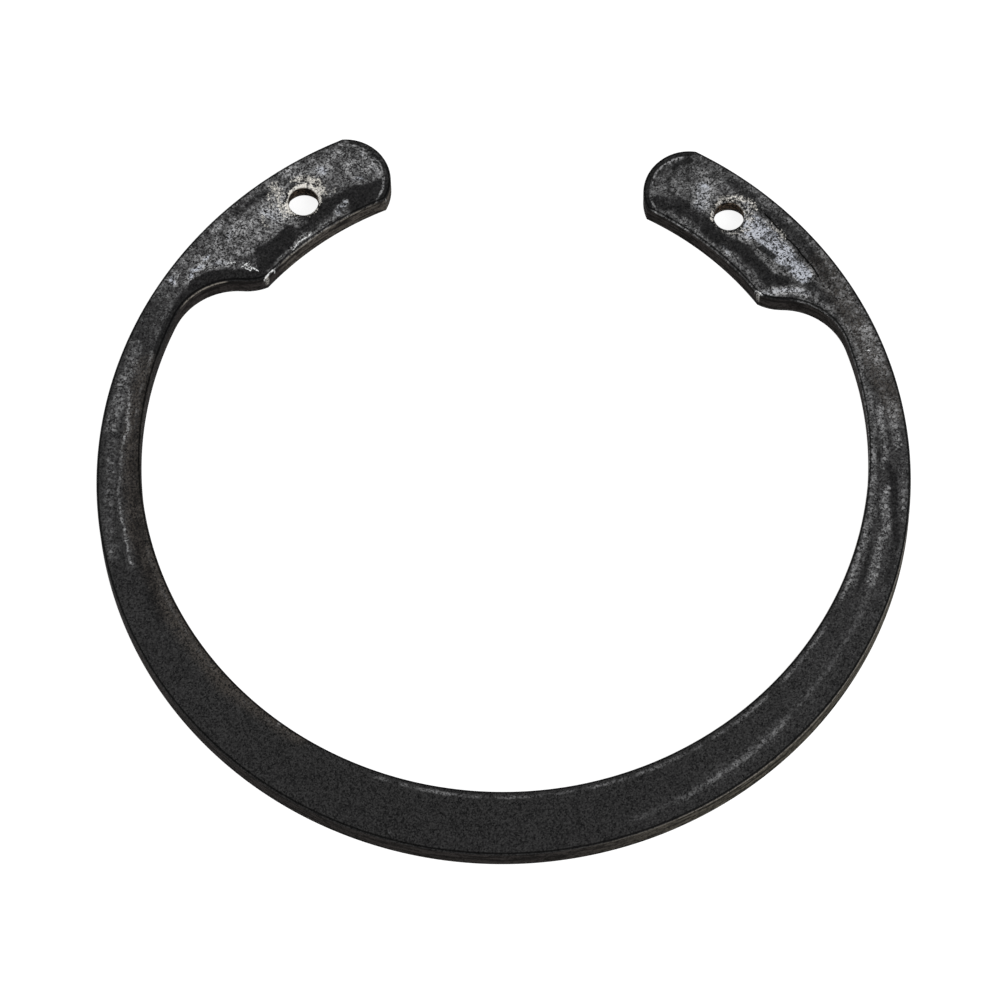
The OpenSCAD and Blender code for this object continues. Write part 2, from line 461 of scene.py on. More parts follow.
# On the right lug: round the tip, below the hole, outside the crack, and along the inner edge
SMOOTH_RIGHT_LUG = (
    (0.8, 3, 4, (648, 208), (646, 186), (654, 168), (671, 156), (690, 152)),
    (0.8, 1.5, 3, (674, 168), (680, 163), (690, 160)),
    (0.7, 1.5, 3, (668, 181), (669, 190)),
    (0.7, 5, 8, (660, 202), (676, 204), (694, 214), (708, 226)),
    (0.85, 4, 7, (706, 228), (722, 240), (740, 248), (756, 264), (770, 280)),
    (1.0, 2, 3, (762, 248), (773, 256)),
    (0.6, 3, 6, (728, 180), (750, 196), (776, 220), (800, 240), (818, 262), (832, 286)),
    (0.6, 3, 6, (808, 286), (820, 294), (832, 300)),
    (0.8, 3, 4, (760, 298), (786, 302), (808, 310), (828, 326), (846, 352)),
    (0.8, 4, 6, (768, 280), (784, 282)),
)
# On the band: towards the inner edge on the left, and either side of the middle on the right
SMOOTH_BAND = (
    (0.6, 3, 9, (160, 360), (144, 400), (136, 450), (135, 500), (142, 560), (160, 620)),
    (0.6, 2, 4, (880, 456), (893, 474), (896, 540), (888, 580)),
    (0.5, 1, 4, (874, 520), (868, 560), (858, 590)),
)
# Where the deposit breaks into the left lug's smooth border
SMOOTH_GAPS = (
    (0.8, 2, 5, (337, 213), (345, 202)),
    (0.5, 2, 4, (297, 226), (304, 222)),
    (0.4, 3, 5, (304, 233), (322, 223), (336, 215)),
)

# Crust close round each hole: which side, how much at least, how much more of it on the far side,
# the share of that more which lies level with the hole's middle, and how far it leans to the right
CRUSTS = (
    (-1, 0.30, 0.50, 0.55, -0.3),
    (1, 0.25, 0.28, 0.50, 0.2),
)
CRUST_FULL = 0.2  # millimetres from the hole's edge as far as which it is whole
CRUST_SOFT = 0.3  # millimetres over which it then thins out
# Pale residue further out, round the left and the right hole, and a gap in the left crust. The right hole's
# first row is a painted highlight on the roll of its left side.
CREAM_LEFT = (
    (0.8, 1, 3, (290, 212), (287, 204), (289, 196)),
    (0.60, 3, 6, (274, 186), (280, 196), (282, 206), (285, 214)),
    (0.62, 2, 5, (294, 181), (304, 178), (317, 181), (323, 192)),
    (0.40, 2, 6, (270, 196), (274, 208), (284, 216)),
    (0.45, 1, 4, (328, 192), (334, 190)),
    (0.45, 1, 4, (262, 214), (266, 226)),
)
CREAM_RIGHT = (
    # Painted highlight on the roll of the right hole's left side
    (0.58, 1, 2, (712, 220), (712, 214), (715, 207)),
    (0.52, 2, 4, (722, 198), (738, 196), (750, 202), (755, 208)),
    (0.48, 2, 4, (750, 208), (751, 220), (748, 230)),
    (0.50, 1, 4, (722, 230), (734, 233), (746, 230)),
    (0.40, 2, 5, (766, 222), (780, 232), (784, 242)),
    (0.35, 1, 4, (712, 196), (706, 204)),
)
CREAM_GAP = ((0.5, 0.8, 1.5, (286, 199), (288, 190), (295, 184)),)

# A brown tinge of the coat: along the left band, and beside the right lug's shoulder
BROWN = (
    (1.0, 8, 14, (150, 370), (138, 450), (142, 530), (176, 610), (230, 680), (300, 728)),
    (0.7, 6, 10, (820, 262), (860, 330), (896, 410)),
)

# Lines of the photo: the hair crack, the two streaks round the band with the stretches of them
# that show, and the nicks
CRACK = (
    (765, 214), (771, 220), (779, 229), (786, 238), (791, 242), (798, 249), (803, 256), (810, 264),
    (814, 269), (818, 276))
LEFT_STREAK = (
    (129, 394), (129, 410), (127, 418), (128, 430), (124, 438), (122, 452), (120, 478), (118, 492),
    (119, 500), (121, 514), (125, 534), (130, 560), (133, 580), (142, 605), (152, 624))
RIGHT_STREAK = (
    (636, 819), (668, 805), (686, 797), (700, 788), (716, 777), (730, 768), (745, 758), (757, 748),
    (770, 737), (780, 726), (792, 714), (804, 700), (836, 658), (860, 616), (872, 582), (879, 545))
STREAK_STRETCHES = (
    (0.9, 4, 4, *LEFT_STREAK[:5]),
    (0.4, 4, 5, *LEFT_STREAK[4:9]),
    (0.75, 4, 9, *LEFT_STREAK[9:12]),
    (0.25, 6, 14, *RIGHT_STREAK[:2]),
    (0.6, 6, 14, *RIGHT_STREAK[2:4]),
    (1.0, 6, 14, *RIGHT_STREAK[4:10]),
    (0.35, 6, 14, *RIGHT_STREAK[11:]),
)
NICKS = (
    ((293, 249), (296, 245)), ((299, 241), (304, 238)), ((308, 236), (310, 234)),
    ((243, 266), (247, 263)), ((246, 268), (250, 270)), ((252, 267), (257, 270)),
    ((230, 263), (234, 262)), ((265, 277), (269, 273), (273, 269)),
    ((270, 279), (273, 274), (276, 270)), ((387, 200), (389, 203)),
    ((748, 287), (753, 292), (756, 295)), ((758, 291), (761, 293)), ((868, 350), (869, 350)),
)
# Amount, half width and soft border of a nick's bright metal, and of its dent, whose amount is its
# depth in millimetres
NICK_LIGHT = (1.0, 1.5, 2)
NICK_DENT = (0.05, 1, 2)
LINE_REACH = 2.0  # millimetres from a line beyond which its distance doesn't matter
FAR = 1e6         # a distance greater than any on the ring
TINY = 1e-9       # keeps a line of no length from dividing by zero


def photo_line(pixels):
    return [tuple(from_photo(x, y)) for x, y in pixels]


def signed_distance(points, line):
    """Distance from each point to a line through a few points, negative on its left."""
    best = np.full(len(points), FAR)
    for a, b in zip(line, line[1:]):
        a = np.array(a)
        along = np.array(b) - a
        v = points - a
        t = np.clip((v @ along) / max(along @ along, TINY), 0, 1)
        d = np.hypot(*(v - t[:, None] * along).T)
        side = np.where(v[:, 0] * along[1] - v[:, 1] * along[0] < 0, -1.0, 1.0)
        best = np.where(d < np.abs(best), d * side, best)
    return best


def nearest_line(points, lines):
    """Signed distance to whichever of some lines of the photo is nearest."""
    best = np.full(len(points), FAR)
    for line in lines:
        d = signed_distance(points, photo_line(line))
        best = np.where(np.abs(d) < np.abs(best), d, best)
    return np.clip(best, -LINE_REACH, LINE_REACH)


def stroke(points, amount, width, soft, *pixels):
    """A soft stroke along a line of the photo: its half width and its soft border are in pixels."""
    d = np.abs(signed_distance(points, photo_line(pixels))) / PX
    t = np.clip((width + soft - d) / soft, 0, 1)
    return amount * t * t * (3 - 2 * t)


def strokes(points, rows):
    return [stroke(points, *row) for row in rows]


def from_pair(points, place):
    """Distance from each point to a place on the right or to its mirror image, whichever is nearer."""
    return np.minimum(*(np.hypot(points[:, 0] - s * place.x, points[:, 1] - place.y) for s in (-1, 1)))


def split_outline():
    """Points of the outline's edges apart from the rim: those of the two tips and of the inner edge."""
    kinds = {"tip": [], "inner": []}
    for p in half_outline(0.0, SAMPLES):
        if abs(p.length - OUTER_R) < ON_CIRCLE:
            continue
        kind = "tip" if abs((p - TIP_C).length - TIP_R) < ON_CIRCLE else "inner"
        kinds[kind] += [p, Vector((-p.x, p.y))]
    return kinds


def edge_distances(points):
    """Distance from each point to the rim, the inner edge, the tips and the holes, seen from above."""
    kinds = split_outline()
    return {
        "rim": OUTER_R - np.hypot(points[:, 0], points[:, 1]),
        "inner": distances(points, make_tree(kinds["inner"])),
        "tip": distances(points, make_tree(kinds["tip"])),
        "hole": from_pair(points, HOLE_C) - HOLE_R,
    }


def pale_marks(p):
    """How much grey deposit lies on the dark coat."""
    bearings = np.degrees(np.arctan2(p[:, 0], p[:, 1]))
    side = np.abs(bearings)
    level = np.interp(side, DEPOSIT_BEARINGS, DEPOSIT_LEVELS)
    level *= np.where(bearings < 0, np.interp(side, LEFT_BEARINGS, LEFT_SHARES), RIGHT_SHARE)
    return np.clip(level + sum(strokes(p, PALE_LEFT_LUG + PALE_RIGHT_LUG + PALE_BAND)), 0, MOST_DEPOSIT)


def smooth_marks(p):
    """Where the coat is dark and smooth."""
    marks = strokes(p, SMOOTH_LEFT_LUG + SMOOTH_RIGHT_LUG + SMOOTH_BAND)
    return np.clip(np.maximum.reduce(marks) - sum(strokes(p, SMOOTH_GAPS)), 0, 1)


def crust(p, side, least, more, level_share, lean):
    """Residue close round a hole, with more of it on the far side."""
    x = p[:, 0] - side * HOLE_C.x
    y = p[:, 1] - HOLE_C.y
    clear = np.hypot(x, y) - HOLE_R
    share = np.clip(level_share + (1 - level_share) * (y + lean * x) / HOLE_R, 0, 1)
    return (least + more * share) * np.clip(1 - (clear - CRUST_FULL) / CRUST_SOFT, 0, 1)


def cream_marks(p):
    """Pale residue round the holes, and a painted highlight on the right hole's roll."""
    marks = [crust(p, *row) for row in CRUSTS] + strokes(p, CREAM_LEFT + CREAM_RIGHT)
    return np.clip(np.maximum.reduce(marks) - sum(strokes(p, CREAM_GAP)), 0, 1)


def corner_distance(p):
    """Distance from each point to the edge at which a lug's inner edge meets its corner."""
    to_corner = crossing(LUG_INNER_C, LUG_INNER_R, CORNER_C, CORNER_SWEEP_R, 1)
    return from_pair(p, LUG_INNER_C + polar(LUG_INNER_R, to_corner))


def vertex_places(mesh):
    """The vertices' places in metres, one in each row."""
    co = np.empty(3 * len(mesh.vertices))
    mesh.vertices.foreach_get("co", co)
    return co.reshape(-1, 3)


# The upper face sags along the lugs' inner edges and round the holes: depth and width of each sag,
# the height from which it grows, and where along Y the lugs' sag begins, with its soft start
SAG_EDGE = 0.14
SAG_WIDTH = 1.6
SAG_HOLE = 0.06
SAG_HOLE_WIDTH = 1.4
SAG_FROM = 1.2
SAG_Y = 14.0
SAG_SOFT = 4.0
# Its general unevenness: depth, waves to a millimetre, and which level of the noise it is cut from
UNEVEN = 0.03
UNEVEN_WAVES = 0.4
UNEVEN_LEVEL = 3.0


def add_relief(mesh, edges):
    """Lets the upper face sag a little, with dents at the nicks."""
    co = vertex_places(mesh)
    p = co[:, :2] / MM
    on_lug = np.clip((p[:, 1] - SAG_Y) / SAG_SOFT, 0, 1)
    sag = SAG_EDGE * on_lug * np.clip(1 - edges["inner"] / SAG_WIDTH, 0, 1) ** 2
    sag += SAG_HOLE * np.clip(1 - edges["hole"] / SAG_HOLE_WIDTH, 0, 1) ** 2
    sag += sum(stroke(p, *NICK_DENT, *line) for line in NICKS)
    uneven = [noise.noise((x * UNEVEN_WAVES, y * UNEVEN_WAVES, UNEVEN_LEVEL)) for x, y in p]
    sag += UNEVEN * np.clip(uneven, 0, 1)
    share = np.clip((co[:, 2] / MM - SAG_FROM) / (THICK - SAG_FROM), 0, 1)
    co[:, 2] -= sag * share * MM
    mesh.vertices.foreach_set("co", co.ravel())
    mesh.update()


def add_attributes(mesh, edges):
    """Distances to the edges and marks of use, at each vertex, which the material reads."""
    p = vertex_places(mesh)[:, :2] / MM
    values = {
        **edges,
        "corner": corner_distance(p),
        "pale": pale_marks(p),
        "smooth": smooth_marks(p),
        "cream": cream_marks(p),
        "brown": np.maximum.reduce(strokes(p, BROWN)),
        "crack": nearest_line(p, (CRACK,)),
        "streak": nearest_line(p, (LEFT_STREAK, RIGHT_STREAK)),
        "streak_mask": np.maximum.reduce(strokes(p, STREAK_STRETCHES)),
        "nick": nearest_line(p, NICKS),
        "nick_mask": np.maximum.reduce([stroke(p, *NICK_LIGHT, *line) for line in NICKS]),
    }
    for name, column in values.items():
        layer = mesh.attributes.new(name, "FLOAT", "POINT")
        layer.data.foreach_set("value", column.astype(np.float32))
    return list(values)


ring = build_ring()
edges_at_vertices = edge_distances(vertex_places(ring.data)[:, :2] / MM)
add_relief(ring.data, edges_at_vertices)
ATTRIBUTES = add_attributes(ring.data, edges_at_vertices)
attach(ring, "root")
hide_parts("retaining_ring")


class Nodes:
    """Short calls that build a node tree."""

    def __init__(self, tree):
        self.tree = tree

    def add(self, kind, **settings):
        node = self.tree.nodes.new(kind)
        for key, value in settings.items():
            setattr(node, key, value)
        return node

    def put(self, socket, value):
        if isinstance(value, bpy.types.NodeSocket):
            self.tree.links.new(value, socket)
        else:
            socket.default_value = value

    def math(self, operation, *values):
        node = self.add("ShaderNodeMath", operation=operation)
        for socket, value in zip(node.inputs, values):
            self.put(socket, value)
        return node.outputs[0]

    def fold(self, operation, values):
        return functools.reduce(functools.partial(self.math, operation), values)

    def times(self, *values):
        return self.fold("MULTIPLY", values)

    def plus(self, *values):
        return self.fold("ADD", values)

    def least(self, *values):
        return self.fold("MINIMUM", values)

    def most(self, *values):
        return self.fold("MAXIMUM", values)

    def minus(self, a, b):
        return self.math("SUBTRACT", a, b)

    def weigh(self, *pairs):
        """Sum of values, each times its weight."""
        return self.plus(*(self.times(value, weight) for value, weight in pairs))

    def off(self, value):
        """What a share leaves of 1."""
        return self.minus(1.0, value)

    def centred(self, pattern):
        """A pattern moved so that it lies evenly about 0."""
        return self.minus(pattern, 0.5)

    def ramp(self, value, low, high, from_low, to_high):
        """Smoothly from one value to another."""
        node = self.add("ShaderNodeMapRange", interpolation_type="SMOOTHSTEP")
        for socket, v in zip(node.inputs, (value, low, high, from_low, to_high)):
            self.put(socket, v)
        return node.outputs[0]

    def rise(self, value, low, high):
        return self.ramp(value, low, high, 0.0, 1.0)

    def fall(self, value, low, high):
        return self.ramp(value, low, high, 1.0, 0.0)

    def between(self, share, at_0, at_1):
        """Smoothly from one value, where a share is 0, to another, where it is 1."""
        return self.ramp(share, 0.0, 1.0, at_0, at_1)

    def band(self, value, middle, width, soft):
        """1 near a value and 0 away from it."""
        return self.fall(self.math("ABSOLUTE", self.minus(value, middle)), width, width + soft)

    def noise(self, place, size, detail, roughness):
        node = self.add("ShaderNodeTexNoise")
        self.put(node.inputs["Vector"], place)
        node.inputs["Scale"].default_value = 1 / size
        node.inputs["Detail"].default_value = detail
        node.inputs["Roughness"].default_value = roughness
        return node.outputs[0]

    def cells(self, place, size):
        """Small grains, each with three values of its own."""
        node = self.add("ShaderNodeTexVoronoi", feature="F1")
        self.put(node.inputs["Vector"], place)
        node.inputs["Scale"].default_value = 1 / size
        split = self.add("ShaderNodeSeparateColor")
        self.put(split.inputs[0], node.outputs["Color"])
        return split.outputs

    def mix(self, factor, a, b):
        """One colour over another: the sockets are those of the node's colours."""
        node = self.add("ShaderNodeMix", data_type="RGBA")
        self.put(node.inputs[0], factor)
        self.put(node.inputs[6], a)
        self.put(node.inputs[7], b)
        return node.outputs[2]

    def attribute(self, name):
        return self.add("ShaderNodeAttribute", attribute_name=name).outputs["Fac"]

    def shifted(self, place, shift):
        node = self.add("ShaderNodeVectorMath", operation="ADD")
        self.put(node.inputs[0], place)
        node.inputs[1].default_value = shift
        return node.outputs[0]


# Colours of the coat, its deposit, its residue and its walls
DARK = (0.004, 0.004, 0.0043, 1)
BLACK = (0.001, 0.001, 0.001, 1)
GROUND = (0.034, 0.0335, 0.0335, 1)
GROUND_BROWN = (0.060, 0.053, 0.047, 1)
PALE = (0.42, 0.42, 0.425, 1)
BLUISH = (0.48, 0.50, 0.55, 1)
BRIGHT = (0.85, 0.86, 0.86, 1)
CREAM = (0.84, 0.81, 0.75, 1)
CREAM_DIM = (0.27, 0.26, 0.235, 1)
# Colour of the painted highlight where the roll begins
ROLL_HIGHLIGHT = (0.34, 0.31, 0.27, 1)
WALL_DARK = (0.003, 0.0026, 0.0022, 1)
WALL = (0.090, 0.080, 0.070, 1)
WALL_LOW = (0.037, 0.0325, 0.031, 1)
# A painted light tone, khaki, of the walls on the lower right
PAINTED_LIT_KHAKI = (0.11, 0.10, 0.08, 1)
HOLE_DARK = (0.005, 0.004, 0.003, 1)
HOLE_BROWN = (0.17, 0.125, 0.09, 1)

# Sizes in millimetres of the two kinds of grain, and how far the coarse one is shifted
GRAIN_SIZE = 0.125
COARSE_SIZE = 0.27
COARSE_SHIFT = (11, 5, 2)
# Noises: how far each is shifted from the others, its size in millimetres, detail and roughness
NOISES = {
    "speck": ((31, 7, 3), 0.22, 3, 0.75),
    "blots": ((2, 2, 6), 0.5, 4, 0.7),
    "mottle": ((5, 57, 9), 1.0, 4, 0.65),
    "waver": ((3, 9, 71), 1.3, 4, 0.65),
    "blotch": ((41, 3, 8), 2.2, 3, 0.6),
    "patch": ((17, 23, 1), 4.0, 2, 0.5),
}
# Lines that run along the walls: their noise, and how much it is drawn out
SHEAR = (0.45, 3, 0.6)
SHEAR_STRETCH = 0.12

# Places in millimetres. Heights between which a look begins, or ends:
FACE_FROM = (THICK - 1.0, THICK - 0.6)
WALL_FROM = (0.005, 0.05)
CRUST_FROM = (2.2, 2.4)
CORNER_FROM = (0.5, 1.2)
FOOT_DOTS_TO = (0.15, 0.4)
# Distance across the edge, which is negative on the wall: where the wall's look ends, and where the
# painted shade on the roll, the painted highlight below it where the roll begins, and the speckled
# lines on the face lie, each with its half width and its soft border
WALL_END = (-0.28, -0.16)
ROLL_PAINTED_SHADE_AT = (0.10, 0.06, 0.10)
ROLL_HIGHLIGHT_AT = (-0.20, 0.04, 0.12)
INNER_LINE_AT = (0.62, 0.04, 0.22)
TIP_LINE_AT = (0.70, 0.03, 0.14)
# Middle and half width along X, with a soft border, of the left lug, the shoulders and the hollows
LEFT_LUG_X = (-16.0, 5.6, 0.8)
SHOULDERS_X = (24.8, 2.4, 0.8)
HOLLOWS_X = (29.2, 1.6, 0.8)
LUGS_FROM_Y = (10.0, 14.0)
# Where along X and Y the right half begins, the deposit grows more uneven, the inner edge's line is
# faint, and the walls get a painted light, khaki tone on the lower right
RIGHT_FROM_X = (-2.0, 2.0)
UNEVEN_FROM_Y = (6.0, 16.0)
FAINT_TO_X = (-16.0, -6.0)
FAINT_TO_Y = (0.0, 8.0)
PAINTED_LIT_FROM_X = (4.0, 26.0)
PAINTED_LIT_TO_Y = (-8.0, 4.0)
# How far from the edge of a hole its crust is pale, and its wall is brown, and how near to the
# inner edge a shoulder's wall lies
PALE_CRUST_TO = (0.25, 0.5)
HOLE_WALL_TO = (0.3, 0.6)
SHOULDER_WALL_TO = (0.5, 1.0)
# Distance from a line at which it begins to fade, and at which it has gone
CRACK_FADE = (0.03, 0.13)
NICK_FADE = (0.03, 0.10)
CORNER_FADE = (0.08, 0.3)
# Width of the streaks, in which their core and halo are measured
STREAK_W_LEFT = 0.9
STREAK_W_RIGHT = 2.0
CORE_FADE = (0.02, 0.20)
HALO_FADE = (0.1, 0.6)
# Height of the dark line on the shoulders' walls, with its half width and soft border
SHOULDER_LINE_AT = (1.95, 0.12, 0.2)

# Level of the deposit on the walls, and the share of it that a smooth zone is free of
WALL_DEPOSIT = 0.2
SMOOTH_FREE = 0.92
# How strongly each layer covers what lies below it
SPARK = 0.3
STREAK_LEFT = 0.85
STREAK_RIGHT = 0.36
STREAK_HALO = 0.35
INNER_LINE = 0.36
INNER_LINE_LOW = 0.1
TIP_LINE = 0.7
# Strength of the painted shade on the roll
ROLL_PAINTED_SHADE = 0.85
SHOULDER_LINE = 0.8
FOOT_DOTS = 0.35
# Strengths of the painted highlight where the roll begins: on the walls lit from the right, on the left lug,
# and in the left hollow
ROLL_HIGHLIGHT_RIGHT = 0.6
ROLL_HIGHLIGHT_LUG = 0.6
ROLL_HIGHLIGHT_HOLLOW = 0.62
CRUST = 0.9
NICK = 0.95
CORNER_LEFT = 0.5
CORNER_RIGHT = 0.35

# Roughness of the bare coat, and what deposit, grain and the sheared walls add to it; gloss and bump
ROUGHNESS = 0.42
ROUGH_DEPOSIT = 0.3
ROUGH_GRAIN = 0.12
ROUGH_WALL = 0.3
SPECULAR = 0.02
BUMP_STRENGTH = 0.6
BUMP_DEPTH = 0.00003


def shared_sockets(n):
    """Places, marks, patterns and masks that the layers of the material share."""
    s = SimpleNamespace(**{name: n.attribute(name) for name in ATTRIBUTES})
    coords = n.add("ShaderNodeTexCoord")
    scale = n.add("ShaderNodeVectorMath", operation="SCALE")
    n.put(scale.inputs[0], coords.outputs["Object"])
    scale.inputs["Scale"].default_value = 1 / MM
    place = scale.outputs[0]
    split = n.add("ShaderNodeSeparateXYZ")
    n.put(split.inputs[0], place)
    s.x, s.y, s.z = split.outputs

    s.grain, s.grain_b, s.grain_c = n.cells(place, GRAIN_SIZE)
    s.coarse = n.cells(n.shifted(place, COARSE_SHIFT), COARSE_SIZE)[0]
    for name, (shift, *kind) in NOISES.items():
        setattr(s, name, n.noise(n.shifted(place, shift), *kind))
    s.wobble = n.centred(s.waver)

    # Distance across each edge, from the wall over the roll to the face
    drop = n.minus(s.z, THICK)
    s.across_inner = n.plus(s.inner, drop)
    s.across_tip = n.plus(s.tip, drop)
    s.nearest = n.least(n.plus(s.rim, drop), s.across_inner, s.across_tip, n.plus(s.hole, drop))

    s.upper = n.rise(s.z, *FACE_FROM)
    s.wall = n.times(n.fall(s.nearest, *WALL_END), n.rise(s.z, *WALL_FROM))
    s.on_right = n.rise(s.x, *RIGHT_FROM_X)
    s.smooth_zone = n.times(n.rise(n.weigh((s.smooth, 1.0), (s.wobble, 1.1)), 0.1, 0.85), s.upper)
    return s


def dots(n, s, low, high, grain=0.35):
    """Dots, of which there are fewer the higher the limits are."""
    return n.rise(n.weigh((s.speck, 1.0), (s.grain, grain)), low, high)


def wavering(n, s, line, share):
    """Distance to a line, on either side of it, that wavers a little."""
    return n.math("ABSOLUTE", n.weigh((line, 1.0), (s.wobble, share)))


def coat(n, s):
    """Dark ground with fine grain, and grey deposit on it in grains and sparks."""
    level = n.plus(n.times(s.pale, s.upper), n.times(n.off(s.upper), WALL_DEPOSIT))
    level = n.times(level, n.off(n.times(s.smooth_zone, SMOOTH_FREE)))
    calm = n.ramp(s.y, *UNEVEN_FROM_Y, 0.4, 1.0)
    uneven = n.plus(1.0, n.times(calm, n.ramp(s.mottle, 0.34, 0.66, -0.7, 0.6)))
    cover = n.times(level, uneven, n.ramp(s.patch, 0.3, 0.7, 0.75, 1.25))
    clump = n.rise(n.weigh((s.speck, 0.5), (s.coarse, 0.17), (s.grain, 0.33)), 0.34, 0.8)
    deposit = n.least(n.times(cover, clump), 1.0)

    light_ground = n.mix(n.times(s.brown, s.upper), GROUND, GROUND_BROWN)
    fine = n.times(s.grain_b, n.between(s.smooth_zone, 1.0, 0.5), n.ramp(s.speck, 0.35, 0.65, 0.6, 1.4))
    ground = n.mix(n.least(fine, 1.0), DARK, light_ground)
    powder = n.mix(n.rise(s.pale, 0.8, 1.5), PALE, BLUISH)
    colour = n.mix(deposit, ground, powder)

    spark = n.times(n.rise(s.grain_c, 0.9, 0.96), n.rise(cover, 0.08, 0.3), n.rise(s.speck, 0.42, 0.55))
    coarse_spark = n.times(n.rise(s.coarse, 0.88, 0.95), n.rise(cover, 0.1, 0.3))
    coarse_spark = n.times(coarse_spark, n.ramp(calm, 0.4, 1.0, 0.3, 0.12))
    return n.mix(n.plus(n.times(spark, SPARK), coarse_spark), colour, PALE), deposit


def streaks(n, s, colour):
    """The streaks that run round the band, which are wider and fainter on the right."""
    width = n.between(s.on_right, STREAK_W_LEFT, STREAK_W_RIGHT)
    relative = n.math("DIVIDE", wavering(n, s, s.streak, 0.45), width)
    core = n.times(n.fall(relative, *CORE_FADE), dots(n, s, 0.42, 0.85))
    halo = n.times(n.fall(relative, *HALO_FADE), dots(n, s, 0.55, 0.95), STREAK_HALO)
    broken = n.ramp(s.blots, 0.4, 0.6, 0.25, 1.0)
    part = n.times(n.least(n.plus(core, halo), 1.0), s.streak_mask, broken, s.upper)
    return n.mix(n.times(part, n.between(s.on_right, STREAK_LEFT, STREAK_RIGHT)), colour, PALE)


def edge_lines(n, s, colour):
    """Speckled lines along the inner edge and round the tips, and a dark line of painted shade on the rolled
    edge.
    """
    flecks = dots(n, s, 0.5, 0.85)
    inner_line = n.band(n.weigh((s.across_inner, 1.0), (s.wobble, 0.35)), *INNER_LINE_AT)
    inner_line = n.times(inner_line, flecks, n.rise(s.blotch, 0.38, 0.66), n.off(s.smooth_zone), s.upper)
    lower_left = n.times(n.fall(s.x, *FAINT_TO_X), n.fall(s.y, *FAINT_TO_Y))
    colour = n.mix(n.times(inner_line, n.between(lower_left, INNER_LINE, INNER_LINE_LOW)), colour, PALE)
    tip_line = n.band(n.weigh((s.across_tip, 1.0), (s.wobble, 0.3)), *TIP_LINE_AT)
    tip_line = n.times(tip_line, flecks, n.rise(s.blotch, 0.36, 0.55), s.upper)
    colour = n.mix(n.times(tip_line, TIP_LINE), colour, PALE)
    # Painted shade: a black line on the upper part of the roll
    return n.mix(n.times(n.band(s.nearest, *ROLL_PAINTED_SHADE_AT), s.upper, ROLL_PAINTED_SHADE), colour, BLACK)


def hair_crack(n, s, colour):
    """The hair crack on the right lug, broken here and there."""
    near = n.fall(wavering(n, s, s.crack, 0.2), *CRACK_FADE)
    part = n.times(near, n.rise(n.weigh((s.speck, 1.0), (s.coarse, 0.2)), 0.38, 0.5), s.upper)
    return n.mix(part, colour, BLACK), part


def walls(n, s, colour):
    """Sheared walls with lines that run along them, a painted light khaki tone on the lower right, and a
    painted highlight where the roll begins.
    """
    flattened = n.add("ShaderNodeCombineXYZ")
    drawn_out = (n.times(s.x, SHEAR_STRETCH), n.times(s.y, SHEAR_STRETCH), s.z)
    for socket, value in zip(flattened.inputs, drawn_out):
        n.put(socket, value)
    lines = n.noise(flattened.outputs[0], *SHEAR)
    side_x = n.math("ABSOLUTE", s.x)
    high = n.rise(s.y, *LUGS_FROM_Y)
    left_lug = n.times(n.band(s.x, *LEFT_LUG_X), high)
    shoulder = n.times(n.band(side_x, *SHOULDERS_X), high, n.fall(s.inner, *SHOULDER_WALL_TO))
    hollow = n.times(n.band(side_x, *HOLLOWS_X), high)
    painted_lit_side = n.times(n.rise(s.x, *PAINTED_LIT_FROM_X), n.fall(s.y, *PAINTED_LIT_TO_Y))

    # The walls' tone, with a painted light khaki on the lower right
    lit = n.mix(painted_lit_side, n.mix(left_lug, WALL_LOW, WALL), PAINTED_LIT_KHAKI)
    rough = n.times(n.between(s.grain_b, 0.5, 1.2), n.ramp(lines, 0.36, 0.62, 0.15, 1.4))
    rough = n.times(rough, n.ramp(s.blots, 0.34, 0.66, 0.25, 1.5))
    wall_colour = n.mix(n.least(rough, 1.0), WALL_DARK, lit)
    shoulder_line = n.times(shoulder, n.band(s.z, *SHOULDER_LINE_AT), n.rise(s.blots, 0.35, 0.5))
    wall_colour = n.mix(n.times(shoulder_line, SHOULDER_LINE), wall_colour, BLACK)
    foot_dots = n.times(shoulder, n.fall(s.z, *FOOT_DOTS_TO), dots(n, s, 0.6, 0.85))
    wall_colour = n.mix(n.times(foot_dots, FOOT_DOTS), wall_colour, PALE)
    specks = n.rise(n.weigh((s.blots, 0.7), (s.coarse, 0.3)), 0.38, 0.8)
    hole_colour = n.mix(specks, HOLE_DARK, HOLE_BROWN)
    wall_colour = n.mix(n.fall(s.hole, *HOLE_WALL_TO), wall_colour, hole_colour)
    colour = n.mix(s.wall, colour, wall_colour)

    # Painted highlight: a light line where the roll begins, on the walls lit from the right and along the
    # left lug's and hollow's inner edge
    on_inner = n.fall(n.minus(s.across_inner, s.nearest), 0.02, 0.1)
    highlight_lug = n.times(left_lug, n.rise(s.blotch, 0.3, 0.6), ROLL_HIGHLIGHT_LUG)
    highlight_hollow = n.times(hollow, n.off(s.on_right), ROLL_HIGHLIGHT_HOLLOW)
    amount = n.most(n.times(painted_lit_side, ROLL_HIGHLIGHT_RIGHT), n.times(on_inner, n.plus(highlight_lug, highlight_hollow)))
    return n.mix(n.times(n.band(s.nearest, *ROLL_HIGHLIGHT_AT), dots(n, s, 0.42, 0.75), amount), colour, ROLL_HIGHLIGHT)


